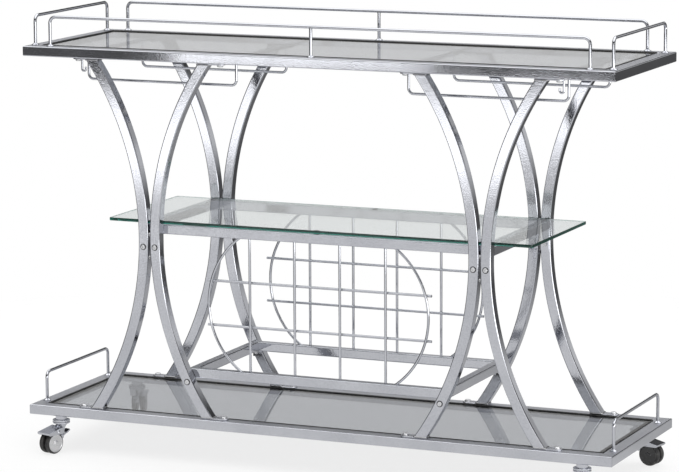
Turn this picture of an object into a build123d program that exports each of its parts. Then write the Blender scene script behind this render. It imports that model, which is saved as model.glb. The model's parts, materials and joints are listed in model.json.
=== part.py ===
from build123d import *
import math
import os

# Bar cart: two glazed trays held apart by four pairs of back-to-back curved legs,
# a glass shelf at the legs' waists, a wire bottle rack under the shelf and four swivel casters.
# Millimetres. The origin is on the floor under the middle of the cart.
# X runs along the length, Y from front to back, Z up.

# Trays
tray_length = 1200.0
tray_depth = 355.0
rail_width = 27.0
rail_height = 19.0
tube_wall = 1.2
tube_corner = 2.0
tray_glass_thickness = 5.0
tray_glass_drop = 1.0
tray_glass_gap = 1.0
ledge_width = 12.0
ledge_thickness = 2.0
cross_bar_width = 22.0
cross_bar_thickness = 3.0
glass_arris = 0.6

# Heights
caster_height = 71.0
leg_rise = 685.0
shelf_frame_above_base = 369.0
rack_frame_above_base = 93.0

# Legs
leg_size = 20.0
leg_inset = 262.0
waist_gap = 4.0
foot_splay = 120.0
plate_thickness = 3.0
plate_reach = 30.0
plate_lap = 15.0
weld_diameter = 7.0
weld_height = 8.0
weld_spread = 44.0
weld_drop = 13.0

# Shelf and bottle rack
frame_tube = 18.0
shelf_glass_overhang = 74.0
shelf_glass_thickness = 6.0
shelf_glass_setback = 1.5
pad_diameter = 12.0
pad_thickness = 1.2
tab_width = 16.0
tab_thickness = 3.0
shelf_tab_drop = 36.0
rack_tab_drop = 14.0
waist_screw_drop = 24.0
rack_screw_drop = 5.0
rack_wire = 5.0
rack_wire_setback = 7.0
rack_upright_pitch = 93.0
rack_upright_count = 4
rack_cross_count = 2
rack_cross_overrun = 2.0
ring_bulge = 226.0
ring_radius = 160.0

# Guard rails
guard_wire = 6.0
guard_height = 60.0
guard_bend = 12.0
guard_inset = 13.5
long_guard_post_inset = 53.0
end_guard_post_inset = 27.0
base_guard_post_inset = 47.5
collar_diameter = 15.0
collar_height = 4.0
collar_rim = 1.2
stud_diameter = 4.0
stud_length = 8.0

# Hanging rails and hooks under the top tray
hanger_wire = 5.0
hanger_drop = 46.0
hanger_bend = 10.0
hanger_inset = 62.5
hanger_inner_reach = 162.0
hanger_outer_reach = 152.0
hook_wire = 4.0
hook_drop = 28.0
hook_width = 8.0
hook_bend = 3.8
hook_tip = 8.0
hook_inset = 8.0

# Fasteners
bolt_diameter = 6.0
bolt_head = 12.0
bolt_head_height = 4.0
bolt_head_round = 2.8
bolt_length = 14.0
screw_diameter = 5.0
screw_head = 9.0
screw_head_height = 2.6
screw_head_round = 1.3
screw_socket = 3.0
screw_socket_depth = 1.4
nut_across_flats = 8.0
nut_height = 4.0
nut_end = 1.0
hole_clearance = 0.1

# Casters
caster_inset = 62.0
stem_diameter = 10.0
stem_length = 11.0
stem_collar_diameter = 22.0
stem_collar_height = 8.0
race_diameter = 34.0
race_thickness = 3.5
race_gap = 0.3
race_edge = 1.0
king_pin_diameter = 8.0
king_pin_head = 12.0
king_pin_head_height = 2.5
neck_top_diameter = 26.0
neck_diameter = 17.0
neck_height = 7.0
caster_trail = 28.0
wheel_radius = 21.0
wheel_width = 10.0
wheel_gap = 0.5
wheel_shoulder = 1.5
wheel_rim_radius = 16.8
wheel_dish = 0.8
face_disc_rim = 0.5
face_disc_crown = 1.6
web_thickness = 5.0
hub_radius = 7.0
axle_diameter = 6.0
axle_head = 10.0
axle_head_height = 1.2
running_clearance = 0.05
hood_gap = 2.2
hood_wall = 1.6
hood_side_gap = 2.0
hood_cover = 0.72
hood_slope = 12.0
hood_tip_reach = 21.0
hood_tip_rise = 22.2
hood_back_reach = 18.0
hood_edge = 0.8
lever_pivot_forward = 26.0
lever_pivot_rise = 8.0
lever_pin_diameter = 4.0
lever_cheek_radius = 4.0
lever_cheek_thickness = 2.0
lever_cheek_gap = 0.2
pedal_length = 10.0
pedal_width = 12.0
pedal_thickness = 3.0
pedal_tilt = 30.0

# Direction in which each caster's wheels trail behind its stem, in degrees from +X.
caster_headings = {
    "front_left": -108.0,
    "front_right": -72.0,
    "back_left": 108.0,
    "back_right": -10.0,
}

# Places that follow from the sizes above
half_length = tray_length / 2
half_depth = tray_depth / 2
pair_offset = half_length - leg_inset
base_underside = caster_height
base_top = base_underside + rail_height
top_underside = base_top + leg_rise
top_surface = top_underside + rail_height
leg_y = half_depth - rail_width + leg_size / 2
waist_offset = (leg_size + waist_gap) / 2
waist_z = base_top + leg_rise / 2
leg_sagitta = foot_splay - waist_offset
leg_radius = (leg_sagitta ** 2 + (leg_rise / 2) ** 2) / (2 * leg_sagitta)
frame_half_depth = leg_y - leg_size / 2
shelf_frame_top = base_top + shelf_frame_above_base
shelf_frame_underside = shelf_frame_top - frame_tube
shelf_half_length = pair_offset + waist_offset + leg_size / 2
rack_frame_top = base_top + rack_frame_above_base
rack_frame_underside = rack_frame_top - frame_tube
waist_screw_z = shelf_frame_underside - waist_screw_drop
rack_screw_z = rack_frame_underside - rack_screw_drop
plate_bolt_offset = foot_splay + plate_reach
guard_y = half_depth - guard_inset
guard_x = half_length - guard_inset
long_guard_reach = half_length - long_guard_post_inset
end_guard_reach = half_depth - end_guard_post_inset
base_guard_reach = half_depth - base_guard_post_inset
guard_rise = guard_height - guard_wire / 2
hanger_y = half_depth - hanger_inset
caster_x = half_length - caster_inset
caster_y = half_depth - rail_width / 2

# Heights and reaches inside a caster, from the floor and from the middle of its wheels
race_top = caster_height - stem_collar_height
race_underside = race_top - race_thickness
swivel_top = race_underside - race_gap
swivel_race_underside = swivel_top - race_thickness
neck_underside = swivel_race_underside - neck_height
wheel_inner = web_thickness / 2 + wheel_gap
wheel_outer = wheel_inner + wheel_width
hood_inner_radius = wheel_radius + hood_gap
lever_pivot_x = caster_trail - lever_pivot_forward
lever_pivot_z = wheel_radius + lever_pivot_rise


def leg_offset(z):
    """Distance of a leg's centre line from its pair's middle at height z."""
    rise = z - waist_z
    return waist_offset + leg_radius - math.sqrt(leg_radius ** 2 - rise ** 2)


rack_screw_offset = leg_offset(rack_screw_z)
rack_half_length = pair_offset - rack_screw_offset + tab_width / 2


def block(x_range, y_range, z_range):
    """Box between two limits on each axis."""
    size = [high - low for low, high in (x_range, y_range, z_range)]
    middle = [(high + low) / 2 for low, high in (x_range, y_range, z_range)]
    return Pos(*middle) * Box(*size)


def rod(start, length, diameter, direction="Z"):
    """Round bar from a point along +X, +Y or +Z."""
    turn = {"X": Rot(0, 90, 0), "Y": Rot(-90, 0, 0), "Z": Rot(0, 0, 0)}[direction]
    bar = Cylinder(diameter / 2, length, align=(Align.CENTER, Align.CENTER, Align.MIN))
    return Pos(*start) * turn * bar


def bent_wire(points, diameter, bend):
    """Round wire along straight runs joined by bends of one radius."""
    path = FilletPolyline(*points, radius=bend)
    section = Plane(origin=points[0], z_dir=Vector(*points[1]) - Vector(*points[0])) * Circle(diameter / 2)
    return sweep(section, path=path)


def tube_section(width, height):
    """Cross-section of a rectangular tube with rounded outer corners."""
    outer = RectangleRounded(width, height, tube_corner)
    return outer - Rectangle(width - 2 * tube_wall, height - 2 * tube_wall)


def tube(length, width, height):
    """Rectangular tube along X, centred on the origin."""
    return extrude(Plane.YZ * tube_section(width, height), amount=length / 2, both=True)


def mitred_frame(length, depth, width, height, z_low):
    """Four tubes of a rectangular frame, cut at 45 degrees at the corners: front, right, back, left."""
    rails = []
    for turn in (0, 90, 180, 270):
        run, across = (length, depth) if turn in (0, 180) else (depth, length)
        side = Pos(0, -across / 2 + width / 2, z_low + height / 2) * tube(run, width, height)
        outline = Polygon(
            (-run / 2, -across / 2),
            (run / 2, -across / 2),
            (run / 2 - width, -across / 2 + width),
            (-run / 2 + width, -across / 2 + width),
            align=None,
        )
        mitre = Pos(0, 0, z_low) * extrude(outline, amount=height)
        rails.append(Rot(0, 0, turn) * (side & mitre))
    return rails


def bore_rails(rails, holes):
    """Cut the same holes out of every rail that they meet."""
    cut = []
    for rail in rails:
        for hole in holes:
            rail = rail - hole
        cut.append(rail)
    return cut


def leg_places():
    """Names, pair middles and sides of the eight legs."""
    for end, sign_x in (("left", -1), ("right", 1)):
        for face, sign_y in (("front", -1), ("back", 1)):
            for rank, side in (("outer", sign_x), ("inner", -sign_x)):
                yield f"leg_{face}_{end}_{rank}", sign_x * pair_offset, sign_y * leg_y, side, rank


def plate_bolt_places():
    """Plan positions of the bolts through the legs' plates."""
    for _, pair_x, y, side, _ in leg_places():
        yield pair_x + side * plate_bolt_offset, y


def end_rail_posts(sign_x, reach):
    """Plan positions of the two posts of a guard rail across one end of a tray."""
    return [(sign_x * guard_x, -reach), (sign_x * guard_x, reach)]


def long_rail_posts(sign_y):
    """Plan positions of the three posts of a guard rail along the top tray."""
    return [(x, sign_y * guard_y) for x in (-long_guard_reach, 0.0, long_guard_reach)]


def guard_post_places(top):
    """Plan positions of all the guard rails' posts on the top or the base tray."""
    if top:
        return (end_rail_posts(-1, end_guard_reach) + end_rail_posts(1, end_guard_reach)
                + long_rail_posts(-1) + long_rail_posts(1))
    return end_rail_posts(-1, base_guard_reach) + end_rail_posts(1, base_guard_reach)


def caster_places():
    """Names, plan positions and headings of the casters."""
    for name, heading in caster_headings.items():
        sign_x = -1 if name.endswith("left") else 1
        sign_y = -1 if name.startswith("front") else 1
        yield name, sign_x * caster_x, sign_y * caster_y, heading


def tray_frame(z_low, top):
    """Mitred frame of a tray, bored for the leg bolts, the guard rail studs and the caster stems."""
    holes = []
    skin = 2 * tube_wall
    bolt_face = z_low if top else z_low + rail_height
    for x, y in plate_bolt_places():
        holes.append(rod((x, y, bolt_face - skin), 2 * skin, bolt_diameter + 2 * hole_clearance))
    for x, y in guard_post_places(top):
        holes.append(rod((x, y, z_low + rail_height - skin), 2 * skin, stud_diameter + 2 * hole_clearance))
    if not top:
        for _, x, y, _ in caster_places():
            holes.append(rod((x, y, z_low - skin), 2 * skin, stem_diameter + 2 * hole_clearance))
    return bore_rails(mitred_frame(tray_length, tray_depth, rail_width, rail_height, z_low), holes)


def tray_ledge(z_low):
    """Four strips welded round the inside of a tray frame, under the glass."""
    z_high = z_low + rail_height - tray_glass_drop - tray_glass_thickness
    x_in = half_length - rail_width
    y_in = half_depth - rail_width
    strips = []
    for sign in (-1, 1):
        y_edges = sorted((sign * y_in, sign * (y_in - ledge_width)))
        strips.append(block((-x_in, x_in), y_edges, (z_high - ledge_thickness, z_high)))
        x_edges = sorted((sign * x_in, sign * (x_in - ledge_width)))
        y_run = y_in - ledge_width
        strips.append(block(x_edges, (-y_run, y_run), (z_high - ledge_thickness, z_high)))
    return strips


def tray_glass(z_low):
    """Glass panel lying on the ledge, just below the top of the rails."""
    x_half = half_length - rail_width - tray_glass_gap
    y_half = half_depth - rail_width - tray_glass_gap
    z_high = z_low + rail_height - tray_glass_drop
    panel = block((-x_half, x_half), (-y_half, y_half), (z_high - tray_glass_thickness, z_high))
    return chamfer(panel.edges(), glass_arris)


def hanger_ends(sign_x):
    """Inner and outer end of the hanging rails at one side of the cart."""
    return sign_x * (pair_offset - hanger_inner_reach), sign_x * (pair_offset + hanger_outer_reach)


def cross_bars():
    """Flat bars across the top tray, over the ends of the hanging rails."""
    y_in = half_depth - rail_width
    half = cross_bar_width / 2
    bars = []
    for sign_x in (-1, 1):
        for x in hanger_ends(sign_x):
            bars.append(block((x - half, x + half), (-y_in, y_in),
                              (top_underside, top_underside + cross_bar_thickness)))
    return bars


def guard_post(x, y, z):
    """Domed collar and fixing stud at the foot of a guard rail's post."""
    profile = Polyline(
        (0, 0),
        (collar_diameter / 2, 0),
        (collar_diameter / 2, collar_rim),
        (guard_wire / 2, collar_height),
        (0, collar_height),
        close=True,
    )
    collar = revolve(Plane.XZ * make_face(profile), Axis.Z)
    stud = rod((0, 0, -stud_length), stud_length, stud_diameter)
    return Pos(x, y, z) * (collar + stud)


def guard_rail(points_xy, z):
    """Guard rail over a row of posts: bent rod, middle posts, collars and studs."""
    (x0, y0), (x1, y1) = points_xy[0], points_xy[-1]
    high = z + guard_rise
    rail = bent_wire([(x0, y0, z), (x0, y0, high), (x1, y1, high), (x1, y1, z)], guard_wire, guard_bend)
    for x, y in points_xy[1:-1]:
        rail += rod((x, y, z), guard_rise, guard_wire)
    for x, y in points_xy:
        rail += guard_post(x, y, z)
    return rail


def hanging_rail(sign_x, sign_y):
    """U-shaped wire under the top tray, welded to two cross bars."""
    x0, x1 = hanger_ends(sign_x)
    y = sign_y * hanger_y
    low = top_underside - hanger_drop
    points = [(x0, y, top_underside), (x0, y, low), (x1, y, low), (x1, y, top_underside)]
    return bent_wire(points, hanger_wire, hanger_bend)


def tool_hooks():
    """Two small J-hooks under the outer cross bars, beside the front legs."""
    hooks = []
    for sign_x in (-1, 1):
        _, x = hanger_ends(sign_x)
        y = -(half_depth - rail_width) + hook_inset
        low = top_underside - hook_drop
        tip = x - sign_x * hook_width
        points = [(x, y, top_underside), (x, y, low), (tip, y, low), (tip, y, low + hook_tip)]
        hooks.append(bent_wire(points, hook_wire, hook_bend))
    return hooks


def leg_plate(side, z):
    """Foot or head plate of a leg: straight under the tube, round at the bolt."""
    inner = foot_splay - plate_lap
    strip = Pos((inner + plate_bolt_offset) / 2, 0) * Rectangle(plate_bolt_offset - inner, leg_size)
    outline = strip + Pos(plate_bolt_offset, 0) * Circle(leg_size / 2)
    outline -= Pos(plate_bolt_offset, 0) * Circle(bolt_diameter / 2 + hole_clearance)
    plate = Pos(0, 0, z) * extrude(outline, amount=plate_thickness)
    return plate if side > 0 else Rot(0, 0, 180) * plate


def leg_bar(side, cross_section):
    """Curved bar of a leg, about its pair's middle, cut level at both plates."""
    centre = (waist_offset + leg_radius, 0, waist_z)
    axis = Axis(centre, (0, 1, 0))
    swing = math.degrees(math.asin((leg_rise / 2) / leg_radius)) + 2
    section = Pos(waist_offset, 0, waist_z) * cross_section
    bar = revolve(section.rotate(axis, -swing), axis, 2 * swing)
    room = block((0, 2 * foot_splay), (-leg_size, leg_size),
                 (base_top + plate_thickness, top_underside - plate_thickness))
    bar = bar & room
    return bar if side > 0 else Rot(0, 0, 180) * bar


def leg(side, rank):
    """One leg with its plates and screw holes, about its pair's middle."""
    solid = leg_bar(side, tube_section(leg_size, leg_size))
    solid += leg_plate(side, base_top)
    solid += leg_plate(side, top_underside - plate_thickness)
    holes = [(side * leg_offset(waist_screw_z), waist_screw_z)]
    if rank == "inner":
        holes.append((side * rack_screw_offset, rack_screw_z))
    for x, z in holes:
        solid -= rod((x, -leg_size, z), 2 * leg_size, screw_diameter + 2 * hole_clearance, "Y")
    return solid


def weld_bead(z):
    """Weld bead at the front of a leg pair's waist, shaped to the tubes beside it."""
    full_section = RectangleRounded(leg_size, leg_size, tube_corner)
    bead = rod((0, (weld_diameter - leg_size) / 2, z - weld_height / 2), weld_height, weld_diameter)
    return bead - leg_bar(1, full_section) - leg_bar(-1, full_section)


def waist_welds():
    """Two weld beads on the outer face of each leg pair."""
    beads = [weld_bead(waist_z - weld_drop + lift) for lift in (-weld_spread / 2, weld_spread / 2)]
    placed = []
    for sign_x in (-1, 1):
        for sign_y, turn in ((-1, 0), (1, 180)):
            place = Pos(sign_x * pair_offset, sign_y * leg_y, 0) * Rot(0, 0, turn)
            placed += [place * bead for bead in beads]
    return placed


def dome_bolt():
    """Dome-head bolt, head up, its underside at the origin."""
    radius = bolt_head / 2
    head = extrude(Circle(radius), amount=bolt_head_height)
    head = fillet(head.faces().sort_by(Axis.Z)[-1].edges(), bolt_head_round)
    return head + rod((0, 0, -bolt_length), bolt_length, bolt_diameter)


def tray_bolts():
    """Bolts through the legs' plates: heads up on the base tray, heads down under the top tray."""
    bolts = []
    for x, y in plate_bolt_places():
        bolts.append(Pos(x, y, base_top + plate_thickness) * dome_bolt())
        bolts.append(Pos(x, y, top_underside - plate_thickness) * Rot(180, 0, 0) * dome_bolt())
    return bolts


def pan_screw(length):
    """Pan-head screw along +Y with a hexagon socket; the head's underside is at the origin."""
    head = extrude(Circle(screw_head / 2), amount=screw_head_height)
    head = fillet(head.faces().sort_by(Axis.Z)[-1].edges(), screw_head_round)
    socket = Pos(0, 0, screw_head_height) * RegularPolygon(screw_socket / 2, 6)
    head -= extrude(socket, amount=-screw_socket_depth)
    screw = head + rod((0, 0, -length), length, screw_diameter)
    return Rot(90, 0, 0) * screw


def nut():
    """Hexagon nut along +Y, from the origin, on a screw."""
    outline = RegularPolygon(nut_across_flats / 2, 6, major_radius=False)
    outline -= Circle(screw_diameter / 2 + hole_clearance)
    return Rot(-90, 0, 0) * extrude(outline, amount=nut_height)


def screw_places():
    """Plan and height of the waist screws and rack screws, with the sign of the face they enter."""
    for _, pair_x, y, side, rank in leg_places():
        sign_y = math.copysign(1, y)
        yield pair_x + side * leg_offset(waist_screw_z), sign_y, waist_screw_z, "waist"
        if rank == "inner":
            yield pair_x + side * rack_screw_offset, sign_y, rack_screw_z, "rack"


def screws(kind):
    """Screws of one kind, entered from the outer faces of the legs."""
    length = leg_size + tab_thickness + nut_height + nut_end
    made = []
    for x, sign_y, z, which in screw_places():
        if which == kind:
            turn = 0 if sign_y < 0 else 180
            made.append(Pos(x, sign_y * (leg_y + leg_size / 2), z) * Rot(0, 0, turn) * pan_screw(length))
    return made


def nuts():
    """Nuts behind the tabs, on every waist screw and rack screw."""
    made = []
    for x, sign_y, z, _ in screw_places():
        turn = 0 if sign_y < 0 else 180
        made.append(Pos(x, sign_y * (frame_half_depth - tab_thickness), z) * Rot(0, 0, turn) * nut())
    return made


def frame_tabs(kind, z_high, drop):
    """Flat tabs hanging from a frame's long tubes, one behind each screw of that kind."""
    tabs = []
    for x, sign_y, z, which in screw_places():
        if which == kind:
            y_edges = sorted((sign_y * frame_half_depth, sign_y * (frame_half_depth - tab_thickness)))
            tab = block((x - tab_width / 2, x + tab_width / 2), y_edges, (z_high - drop, z_high))
            tab -= rod((x, y_edges[0] - 1, z), tab_thickness + 2, screw_diameter + 2 * hole_clearance, "Y")
            tabs.append(tab)
    return tabs


def shelf_frame():
    """Frame of the glass shelf, between the front and the back legs."""
    return mitred_frame(2 * shelf_half_length, 2 * frame_half_depth,
                        frame_tube, frame_tube, shelf_frame_underside)


def rack_frame():
    """Lower frame of the bottle rack, between the inner legs."""
    return mitred_frame(2 * rack_half_length, 2 * frame_half_depth,
                        frame_tube, frame_tube, rack_frame_underside)


def shelf_pads():
    """Clear pads between the shelf's frame and its glass."""
    pads = []
    y = frame_half_depth - frame_tube / 2
    x_end = shelf_half_length - frame_tube / 2
    for x in (-x_end, 0.0, x_end):
        for sign_y in (-1, 1):
            pads.append(rod((x, sign_y * y, shelf_frame_top), pad_thickness, pad_diameter))
    return pads


def shelf_glass():
    """Clear glass shelf on the pads, overhanging its frame at both ends."""
    x_half = shelf_half_length + shelf_glass_overhang
    y_half = frame_half_depth - shelf_glass_setback
    low = shelf_frame_top + pad_thickness
    sheet = block((-x_half, x_half), (-y_half, y_half), (low, low + shelf_glass_thickness))
    return chamfer(sheet.edges(), glass_arris)


def ring_arc(side, y, low, high):
    """Bowed wire at one end of a bottle grid, standing between the two frames."""
    middle = (low + high) / 2
    centre_x = ring_bulge - ring_radius
    swing = math.degrees(math.asin((high - low) / 2 / ring_radius)) + 5
    axis = Axis((centre_x, y, middle), (0, 1, 0))
    section = Pos(centre_x + ring_radius, y, middle) * Circle(rack_wire / 2)
    wire = revolve(section.rotate(axis, -swing), axis, 2 * swing)
    wire = wire & block((0, 2 * ring_bulge), (y - rack_wire, y + rack_wire), (low, high))
    return wire if side > 0 else mirror(wire, about=Plane.YZ)


def bottle_grid(sign_y):
    """Wire grid of the bottle rack: uprights, bowed ends and cross wires welded behind them."""
    low = rack_frame_top
    high = shelf_frame_underside
    y = sign_y * (frame_half_depth - rack_wire / 2 - rack_wire_setback)
    y_cross = y - sign_y * rack_wire
    wires = []
    first = -rack_upright_pitch * (rack_upright_count - 1) / 2
    for i in range(rack_upright_count):
        wires.append(rod((first + i * rack_upright_pitch, y, low), high - low, rack_wire))
    for side in (-1, 1):
        wires.append(ring_arc(side, y, low, high))
    reach = ring_bulge + rack_wire / 2 + rack_cross_overrun
    for i in range(rack_cross_count):
        z = low + (high - low) * (i + 1) / (rack_cross_count + 1)
        wires.append(rod((-reach, y_cross, z), 2 * reach, rack_wire, "X"))
    return wires


def race(z_low):
    """Pressed steel race of a caster's swivel, with rounded rims."""
    disc = rod((0, 0, z_low), race_thickness, race_diameter)
    return fillet(disc.edges().filter_by(GeomType.CIRCLE), race_edge)


def caster_stem():
    """Fixed part of a caster: stem, collar, upper race and king pin with its riveted head."""
    stem = rod((0, 0, caster_height), stem_length, stem_diameter)
    stem += rod((0, 0, race_top), stem_collar_height, stem_collar_diameter)
    stem += race(race_underside)
    stem += rod((0, 0, neck_underside), race_underside - neck_underside, king_pin_diameter)
    head_top = neck_underside - running_clearance
    stem += rod((0, 0, head_top - king_pin_head_height), king_pin_head_height, king_pin_head)
    stem += rod((0, 0, head_top), running_clearance, king_pin_diameter)
    return stem


def caster_web():
    """Upright plate of a swivel housing, from the neck down to the axle hub and the lever's pivot."""
    half = neck_diameter / 2
    outline = Polygon(
        (-half, swivel_race_underside),
        (-half, neck_underside),
        (lever_pivot_x - lever_cheek_radius, lever_pivot_z),
        (caster_trail, wheel_radius - hub_radius),
        (caster_trail + hub_radius, wheel_radius),
        (caster_trail, wheel_radius + hood_inner_radius + hood_wall / 2),
        (half, swivel_race_underside),
        align=None,
    )
    outline += Pos(caster_trail, wheel_radius) * Circle(hub_radius)
    outline += Pos(lever_pivot_x, lever_pivot_z) * Circle(lever_cheek_radius)
    return extrude(Plane.XZ * outline, amount=web_thickness / 2, both=True)


def caster_hood():
    """Hood over the wheels: a roof that slopes from the neck to a visor, hollowed round the wheels."""
    inner_half = wheel_outer + hood_side_gap
    outer_half = inner_half + hood_wall
    lowest = hood_inner_radius * hood_cover
    front = math.sqrt(hood_inner_radius ** 2 - lowest ** 2) + hood_wall
    roof_run = hood_tip_reach + hood_back_reach
    roof_back = hood_tip_rise + roof_run * math.tan(math.radians(hood_slope))
    outline = Polygon(
        (-hood_back_reach, lowest),
        (front, lowest),
        (hood_tip_reach, hood_tip_rise - 2 * hood_wall),
        (hood_tip_reach, hood_tip_rise),
        (-hood_back_reach, roof_back),
        align=None,
    )
    hood = extrude(Plane.XZ * outline, amount=outer_half, both=True)
    sides = hood.faces().sort_by(Axis.Y)
    hood = fillet(sides[0].edges() + sides[-1].edges(), hood_edge)
    hood -= Rot(90, 0, 0) * Cylinder(hood_inner_radius, 2 * inner_half)
    return Pos(caster_trail, 0, wheel_radius) * hood


def caster_swivel():
    """Swivel housing: lower race, neck, web and hood, bored for the king pin, axle and lever pin."""
    housing = race(swivel_race_underside)
    neck = Cone(neck_diameter / 2, neck_top_diameter / 2, neck_height)
    housing += Pos(0, 0, neck_underside + neck_height / 2) * neck
    housing += caster_web() + caster_hood()
    housing -= rod((0, 0, neck_underside - king_pin_head_height - 1),
                   king_pin_head_height + 1, king_pin_head + 4 * running_clearance + 1)
    play = 2 * running_clearance
    housing -= rod((0, 0, neck_underside), swivel_top - neck_underside, king_pin_diameter + play)
    half = web_thickness
    housing -= rod((caster_trail, -half, wheel_radius), 2 * half, axle_diameter + play, "Y")
    housing -= rod((lever_pivot_x, -half, lever_pivot_z), 2 * half, lever_pin_diameter + play, "Y")
    return housing


def caster_axle():
    """Axle with a flat head outside each wheel."""
    reach = wheel_outer + wheel_gap
    axle = rod((caster_trail, -reach, wheel_radius), 2 * reach, axle_diameter, "Y")
    for y in (-reach - axle_head_height, reach):
        axle += rod((caster_trail, y, wheel_radius), axle_head_height, axle_head, "Y")
    return axle


def wheel_pair(profile):
    """Two solids turned from one outline of radius and width, mirrored about the web."""
    turned = revolve(Plane.XY * make_face(profile), Axis.Y)
    turned = Pos(caster_trail, 0, wheel_radius) * turned
    return [turned, mirror(turned, about=Plane.XZ)]


def caster_wheels():
    """Pair of wheels: rounded tread and a dished outer face, bored for the axle."""
    bore = axle_diameter / 2 + running_clearance
    floor_of_dish = wheel_outer - wheel_dish
    return wheel_pair(Polyline(
        (bore, wheel_inner),
        (wheel_radius - wheel_shoulder, wheel_inner),
        (wheel_radius, wheel_inner + wheel_shoulder),
        (wheel_radius, wheel_outer - wheel_shoulder),
        (wheel_radius - wheel_shoulder, wheel_outer),
        (wheel_rim_radius, wheel_outer),
        (wheel_rim_radius - wheel_dish, floor_of_dish),
        (axle_head / 2 + wheel_dish, floor_of_dish),
        (axle_head / 2, wheel_outer),
        (bore, wheel_outer),
        close=True,
    ))


def wheel_faces():
    """Crowned discs pressed into the dished faces of a pair of wheels, clear of the axle's heads."""
    inner = axle_head / 2 + 2 * wheel_dish
    outer = wheel_rim_radius - 2 * wheel_dish
    seat = wheel_outer - wheel_dish
    return wheel_pair(Polyline(
        (inner, seat),
        (outer, seat),
        (outer, seat + face_disc_rim),
        (inner, seat + face_disc_crown),
        close=True,
    ))


def brake_lever():
    """Brake lever: pivot pin, two cheeks beside the web and a pedal in front of it."""
    inner = web_thickness / 2 + lever_cheek_gap
    outer = inner + lever_cheek_thickness
    lever = rod((0, -outer, 0), 2 * outer, lever_pin_diameter, "Y")
    arm = lever_cheek_radius + neck_diameter / 2
    for y in (-outer, inner):
        lever += rod((0, y, 0), lever_cheek_thickness, 2 * lever_cheek_radius, "Y")
        lever += block((-arm, 0), (y, y + lever_cheek_thickness), (-pedal_thickness / 2, pedal_thickness / 2))
    lever += block((-arm - pedal_length, -arm), (-pedal_width / 2, pedal_width / 2),
                   (-pedal_thickness / 2, pedal_thickness / 2))
    return Pos(lever_pivot_x, 0, lever_pivot_z) * Rot(0, pedal_tilt, 0) * lever


def casters():
    """Named nodes of the four casters, each turned to its heading."""
    made = {}
    for name, x, y, heading in caster_places():
        place = Pos(x, y, 0) * Rot(0, 0, heading)
        made[f"caster_stem_{name}"] = [place * caster_stem()]
        made[f"caster_swivel_{name}"] = [place * caster_swivel()]
        made[f"caster_axle_{name}"] = [place * caster_axle()]
        made[f"caster_wheels_{name}"] = [place * wheel for wheel in caster_wheels()]
        made[f"wheel_faces_{name}"] = [place * disc for disc in wheel_faces()]
        made[f"brake_lever_{name}"] = [place * brake_lever()]
    return made


def build():
    """All nodes by name, each a list of solids."""
    nodes = {
        "top_tray_frame": tray_frame(top_underside, top=True),
        "top_tray_ledge": tray_ledge(top_underside),
        "top_cross_bars": cross_bars(),
        "top_glass": [tray_glass(top_underside)],
        "base_tray_frame": tray_frame(base_underside, top=False),
        "base_tray_ledge": tray_ledge(base_underside),
        "base_glass": [tray_glass(base_underside)],
        "tool_hooks": tool_hooks(),
        "waist_welds": waist_welds(),
        "tray_bolts": tray_bolts(),
        "waist_screws": screws("waist"),
        "rack_screws": screws("rack"),
        "frame_nuts": nuts(),
        "shelf_frame": shelf_frame(),
        "shelf_tabs": frame_tabs("waist", shelf_frame_underside, shelf_tab_drop),
        "shelf_pads": shelf_pads(),
        "shelf_glass": [shelf_glass()],
        "rack_frame": rack_frame(),
        "rack_tabs": frame_tabs("rack", rack_frame_underside, rack_tab_drop),
        "bottle_grid_front": bottle_grid(-1),
        "bottle_grid_back": bottle_grid(1),
    }
    for face, sign_y in (("front", -1), ("back", 1)):
        nodes[f"guard_rail_{face}"] = [guard_rail(long_rail_posts(sign_y), top_surface)]
    for end, sign_x in (("left", -1), ("right", 1)):
        nodes[f"guard_rail_{end}"] = [guard_rail(end_rail_posts(sign_x, end_guard_reach), top_surface)]
        nodes[f"base_rail_{end}"] = [guard_rail(end_rail_posts(sign_x, base_guard_reach), base_top)]
        for face, sign_y in (("front", -1), ("back", 1)):
            nodes[f"hanging_rail_{face}_{end}"] = [hanging_rail(sign_x, sign_y)]
    for name, pair_x, y, side, rank in leg_places():
        nodes[name] = [Pos(pair_x, y, 0) * leg(side, rank)]
    nodes.update(casters())
    return nodes


def main():
    """Write one file for each node."""
    os.makedirs("parts", exist_ok=True)
    for name, solids in build().items():
        shape = solids[0] if len(solids) == 1 else Compound(children=solids)
        shape.label = name
        export_step(shape, f"parts/{name}.step")


main()
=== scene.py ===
import json
import math

import bpy
import numpy as np
from bpy.props import FloatProperty, FloatVectorProperty, IntProperty, PointerProperty
from mathutils import Matrix, Vector


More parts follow.
